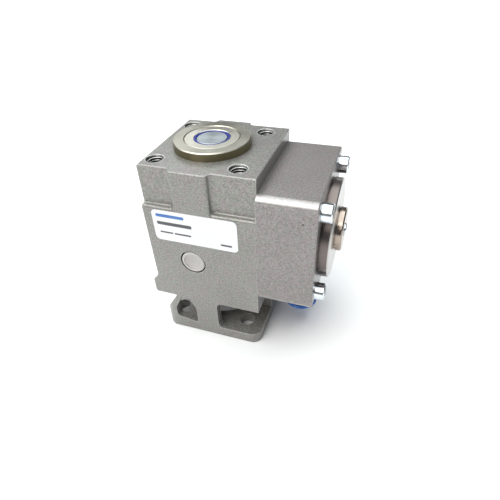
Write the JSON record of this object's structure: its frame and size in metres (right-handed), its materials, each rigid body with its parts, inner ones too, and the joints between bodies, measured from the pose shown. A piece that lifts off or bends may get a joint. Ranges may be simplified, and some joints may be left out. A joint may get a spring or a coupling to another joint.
{
  "type": "pneumatic rod lock",
  "caption": "Pneumatic rod lock: cast block with open yoke, centring collar with wiper round a piston rod, spring-applied tilting clamp and a side release cylinder.",
  "frame": {"origin": "rod axis at the bottom mounting face, which seats on the cylinder", "axes": "+Z along the rod away from the cylinder, +X from the rod to the release cylinder, -Y the labelled face"},
  "size_m": [0.0771, 0.0494, 0.0847],
  "materials": {
    "casting_paint": "die-cast aluminium under satin metallic grey hammer-tone paint",
    "housing_paint": "die-cast aluminium under satin metallic grey hammer-tone paint",
    "collar_nickel": "turned, nickel plated",
    "bush_nickel": "turned, nickel plated",
    "bronze": "sintered bronze",
    "wiper_blue": "smooth polyurethane",
    "rod_steel": "ground, end face turned",
    "clamp_steel": "milled",
    "hard_steel": "ground, hardened",
    "plug_plastic": "moulded light grey",
    "spring_steel": "phosphated",
    "bare_aluminium": "turned",
    "seal_rubber": "moulded nitrile",
    "cover_metal": "turned",
    "boss_nickel": "turned, nickel plated",
    "zinc_steel": "bright zinc plated",
    "brass_tip": "turned",
    "fitting_nickel": "nickel plated brass",
    "gasket_plastic": "moulded",
    "collar_blue": "moulded",
    "label_white": "self-adhesive film"
  },
  "bodies": {
    "lock_body": {"body_casting": "casting_paint", "front_collar": "collar_nickel", "guide_bush": "bush_nickel", "front_bearing": "bronze", "rod_wiper": "wiper_blue", "lower_bearing": "bronze", "pivot_pin_front": "hard_steel", "pivot_pin_back": "hard_steel", "pivot_plug_front": "plug_plastic", "pivot_plug_back": "plug_plastic", "cylinder_housing": "housing_paint", "disc_springs": "spring_steel", "end_cover": "cover_metal", "cover_seal": "seal_rubber", "release_boss": "boss_nickel", "housing_screws": "zinc_steel", "port_fitting": "fitting_nickel", "fitting_gasket": "gasket_plastic", "grip_ring": "spring_steel", "tube_seal": "seal_rubber", "name_label": "label_white"},
    "rod": {"piston_rod": "rod_steel"},
    "clamp": {"rocker_clamp": "clamp_steel", "upper_clamp_ring": "hard_steel", "lower_clamp_ring": "hard_steel"},
    "piston": {"release_piston": "bare_aluminium", "piston_seal": "seal_rubber", "piston_stem": "hard_steel"},
    "tip": {"release_tip": "brass_tip"},
    "screw": {"release_screw": "zinc_steel", "release_seal": "seal_rubber"},
    "collar": {"release_collar": "collar_blue"}
  },
  "joints": [
    {"name": "rod_slide", "type": "slide", "parent": "lock_body", "child": "rod", "axis": [0, 0, 1], "range_m": [-0.003, 0.018]},
    {"name": "clamp_tilt", "type": "hinge", "parent": "lock_body", "child": "clamp", "pos_m": [-0.0024, 0, 0.0417], "axis": [0, -1, 0], "range_deg": [0, 4]},
    {"name": "piston_stroke", "type": "slide", "parent": "lock_body", "child": "piston", "axis": [-1, 0, 0], "range_m": [0, 0.00071], "deforming": ["disc_springs"]},
    {"name": "release_tip_travel", "type": "slide", "parent": "lock_body", "child": "tip", "axis": [-1, 0, 0], "range_m": [0, 0.0012]},
    {"name": "release_screw_turn", "type": "hinge", "parent": "tip", "child": "screw", "pos_m": [0.0412, 0, 0.0519], "axis": [-1, 0, 0], "range_deg": [0, 540]},
    {"name": "collar_press", "type": "slide", "parent": "lock_body", "child": "collar", "axis": [0, 0, 1], "range_m": [0, 0.0013], "stiffness_N_per_m": 600}
  ],
  "couplings": [
    {"joint": "clamp_tilt", "follows": "piston_stroke", "rad_per_m": 98.04},
    {"joint": "release_screw_turn", "follows": "release_tip_travel", "rad_per_m": 7854}
  ]
}
